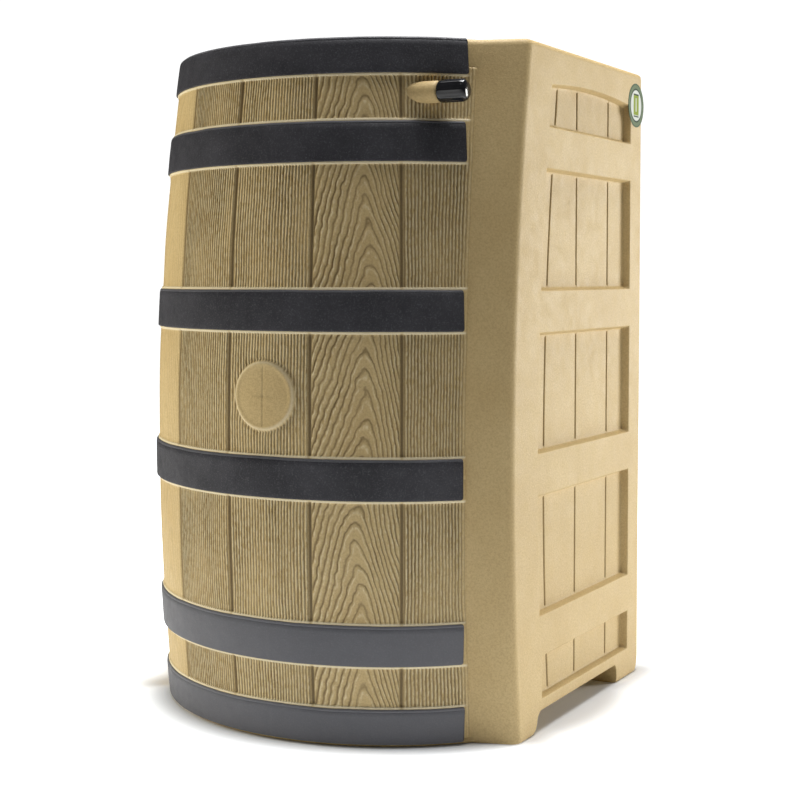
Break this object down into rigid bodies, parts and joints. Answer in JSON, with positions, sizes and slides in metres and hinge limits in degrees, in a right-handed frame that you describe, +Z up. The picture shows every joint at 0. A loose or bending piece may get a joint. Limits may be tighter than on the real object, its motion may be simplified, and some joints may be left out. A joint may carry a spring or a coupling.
{
  "type": "rain barrel",
  "caption": "Flat-backed rain barrel moulded as a wooden cask with dark hoops, a panelled corner post and sides, screened top inlet, capped overflow and a ball-valve spigot.",
  "frame": {"origin": "on the floor, midway between the two flat sides and between the staves' widest point and the flat back", "axes": "+Z up, staves facing -Y, flat back facing +Y, corner post and overflow on the +X side, spigot on the -X side"},
  "size_m": [0.6204, 0.554, 0.84],
  "materials": {
    "shell": "moulded tan plastic with a fine pebbled texture and an embossed wood grain",
    "hoop": "charcoal plastic with a fine leathery texture",
    "label": null,
    "black_plastic": "moulded black plastic",
    "cap_plastic": "glossy black plastic",
    "seal_rubber": "matte black rubber",
    "steel": "zinc plated steel",
    "polished_steel": "polished",
    "mesh_steel": "woven stainless wire",
    "brass": "machined brass",
    "seat_plastic": "white low-friction plastic",
    "grip_vinyl": "dipped black vinyl"
  },
  "bodies": {
    "tank": {"tank_shell": "shell", "hoop_1": "hoop", "hoop_2": "hoop", "hoop_3": "hoop", "hoop_4": "hoop", "hoop_5": "hoop", "hoop_6": "hoop", "side_label": "label", "overflow_nipple": "black_plastic", "inlet_gasket": "seal_rubber", "inlet_collar": "black_plastic", "inlet_screws": "steel", "spigot_gasket": "seal_rubber", "spigot_inner_washer": "seal_rubber", "spigot_locknut": "brass", "spigot_body": "brass", "spigot_outlet": "brass", "spigot_ball_seats": "seat_plastic", "spigot_packing": "seat_plastic", "spigot_packing_nut": "brass"},
    "strainer": {"strainer_basket": "black_plastic", "strainer_mesh": "mesh_steel"},
    "overflow_seal": {"overflow_washer": "seal_rubber"},
    "overflow_cap": {"overflow_cap": "cap_plastic"},
    "spigot_valve": {"spigot_ball": "polished_steel", "spigot_stem": "steel", "spigot_lever": "steel", "spigot_lever_grip": "grip_vinyl", "spigot_lever_nut": "steel"}
  },
  "joints": [
    {"name": "strainer_lift", "type": "slide", "parent": "tank", "child": "strainer", "axis": [0, 0, 1], "range_m": [0, 0.2]},
    {"name": "overflow_seal_slide", "type": "slide", "parent": "tank", "child": "overflow_seal", "axis": [1, 0, 0], "range_m": [0, 0.01104]},
    {"name": "overflow_cap_turn", "type": "hinge", "parent": "overflow_seal", "child": "overflow_cap", "pos_m": [0.192, -0.191, 0.774], "axis": [1, 0, 0], "range_deg": [0, 1800]},
    {"name": "spigot_lever_turn", "type": "hinge", "parent": "tank", "child": "spigot_valve", "pos_m": [-0.3, 0.1, 0.118], "axis": [0, 0, 1], "range_deg": [0, 90]}
  ],
  "couplings": [
    {"joint": "overflow_seal_slide", "follows": "overflow_cap_turn", "m_per_rad": 0.00035153}
  ]
}
